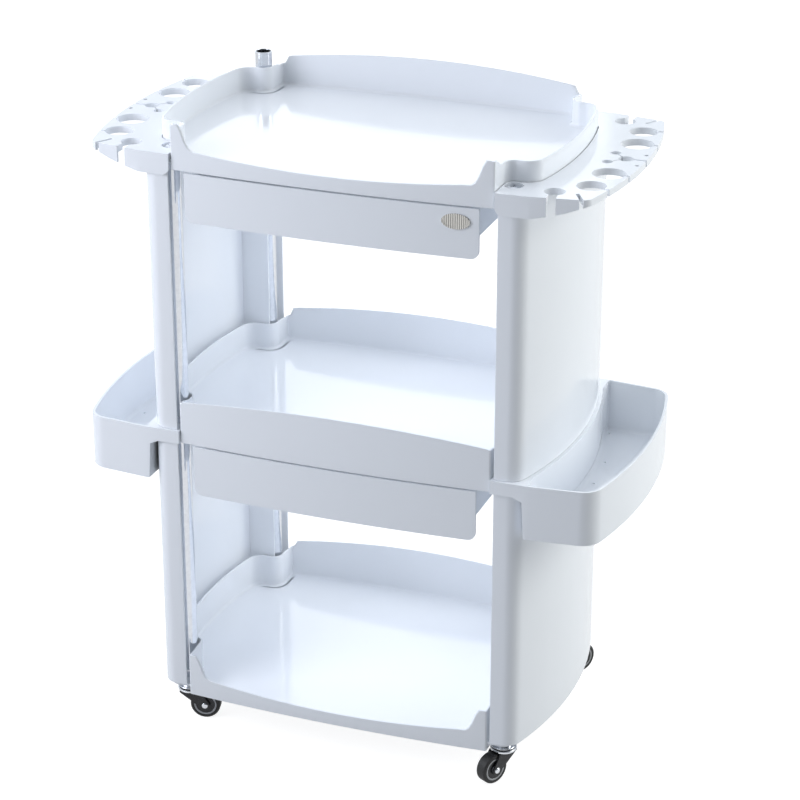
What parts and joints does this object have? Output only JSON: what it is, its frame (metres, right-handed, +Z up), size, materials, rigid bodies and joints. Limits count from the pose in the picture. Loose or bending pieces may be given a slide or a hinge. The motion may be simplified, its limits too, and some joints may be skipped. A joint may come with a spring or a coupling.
{
  "type": "rolling salon trolley",
  "caption": "Rolling tool trolley with three moulded trays between hollow bulged side walls, two sliding drawers, two side bins, slotted tool holders and swivel casters",
  "frame": {"origin": "on the floor, below the middle of the trolley", "axes": "+X to the trolley's right, +Y to its back, +Z up"},
  "size_m": [0.716, 0.361, 0.8375],
  "materials": {
    "white_plastic": "glossy injection-moulded plastic, pale cool white",
    "chrome_steel": "bright plated steel",
    "brushed_metal": "fine brushed face with a polished rim",
    "black_plastic": "satin black moulding",
    "black_rubber": "smooth solid tread",
    "grey_plastic": "satin light grey moulding"
  },
  "bodies": {
    "frame": {"bottom_tray": "white_plastic", "middle_tray": "white_plastic", "top_tray": "white_plastic", "left_lower_side_wall": "white_plastic", "right_lower_side_wall": "white_plastic", "left_upper_side_wall": "white_plastic", "right_upper_side_wall": "white_plastic", "left_side_bin": "white_plastic", "right_side_bin": "white_plastic", "left_tool_holder": "white_plastic", "right_tool_holder": "white_plastic", "tie_tubes": "chrome_steel", "accessory_tube": "chrome_steel", "lower_tube_inserts": "black_plastic", "upper_tube_inserts": "black_plastic", "tie_screws": "chrome_steel", "tie_washers": "chrome_steel", "upper_drawer_rails": "white_plastic", "lower_drawer_rails": "white_plastic", "rail_screws": "chrome_steel", "caster_stems": "chrome_steel", "caster_balls": "chrome_steel"},
    "upper_drawer": {"upper_drawer": "white_plastic", "badge_plate": "brushed_metal"},
    "lower_drawer": {"lower_drawer": "white_plastic"},
    "front_left_caster_fork": {"front_left_fork": "black_plastic", "front_left_cup": "chrome_steel", "front_left_axle": "chrome_steel"},
    "front_left_wheel": {"front_left_hub": "grey_plastic", "front_left_tyre": "black_rubber", "front_left_guards": "black_plastic"},
    "front_right_caster_fork": {"front_right_fork": "black_plastic", "front_right_cup": "chrome_steel", "front_right_axle": "chrome_steel"},
    "front_right_wheel": {"front_right_hub": "grey_plastic", "front_right_tyre": "black_rubber", "front_right_guards": "black_plastic"},
    "rear_left_caster_fork": {"rear_left_fork": "black_plastic", "rear_left_cup": "chrome_steel", "rear_left_axle": "chrome_steel"},
    "rear_left_wheel": {"rear_left_hub": "grey_plastic", "rear_left_tyre": "black_rubber", "rear_left_guards": "black_plastic"},
    "rear_right_caster_fork": {"rear_right_fork": "black_plastic", "rear_right_cup": "chrome_steel", "rear_right_axle": "chrome_steel"},
    "rear_right_wheel": {"rear_right_hub": "grey_plastic", "rear_right_tyre": "black_rubber", "rear_right_guards": "black_plastic"}
  },
  "joints": [
    {"name": "upper_drawer_slide", "type": "slide", "parent": "frame", "child": "upper_drawer", "axis": [0, -1, 0], "range_m": [0, 0.2]},
    {"name": "lower_drawer_slide", "type": "slide", "parent": "frame", "child": "lower_drawer", "axis": [0, -1, 0], "range_m": [0, 0.2]},
    {"name": "front_left_swivel", "type": "hinge", "parent": "frame", "child": "front_left_caster_fork", "pos_m": [-0.219, -0.142, 0.045], "axis": [0, 0, 1], "continuous": true},
    {"name": "front_left_wheel_roll", "type": "hinge", "parent": "front_left_caster_fork", "child": "front_left_wheel", "pos_m": [-0.19959, -0.13716, 0.02], "axis": [0.2419, -0.9703, 0], "continuous": true},
    {"name": "front_right_swivel", "type": "hinge", "parent": "frame", "child": "front_right_caster_fork", "pos_m": [0.219, -0.142, 0.045], "axis": [0, 0, 1], "continuous": true},
    {"name": "front_right_wheel_roll", "type": "hinge", "parent": "front_right_caster_fork", "child": "front_right_wheel", "pos_m": [0.2093, -0.15949, 0.02], "axis": [-0.8746, 0.4848, 0], "continuous": true},
    {"name": "rear_left_swivel", "type": "hinge", "parent": "frame", "child": "rear_left_caster_fork", "pos_m": [-0.219, 0.142, 0.045], "axis": [0, 0, 1], "continuous": true},
    {"name": "rear_left_wheel_roll", "type": "hinge", "parent": "rear_left_caster_fork", "child": "rear_left_wheel", "pos_m": [-0.23713, 0.13355, 0.02], "axis": [-0.4226, 0.9063, 0], "continuous": true},
    {"name": "rear_right_swivel", "type": "hinge", "parent": "frame", "child": "rear_right_caster_fork", "pos_m": [0.219, 0.142, 0.045], "axis": [0, 0, 1], "continuous": true},
    {"name": "rear_right_wheel_roll", "type": "hinge", "parent": "rear_right_caster_fork", "child": "rear_right_wheel", "pos_m": [0.2296, 0.15896, 0.02], "axis": [0.848, -0.5299, 0], "continuous": true}
  ]
}
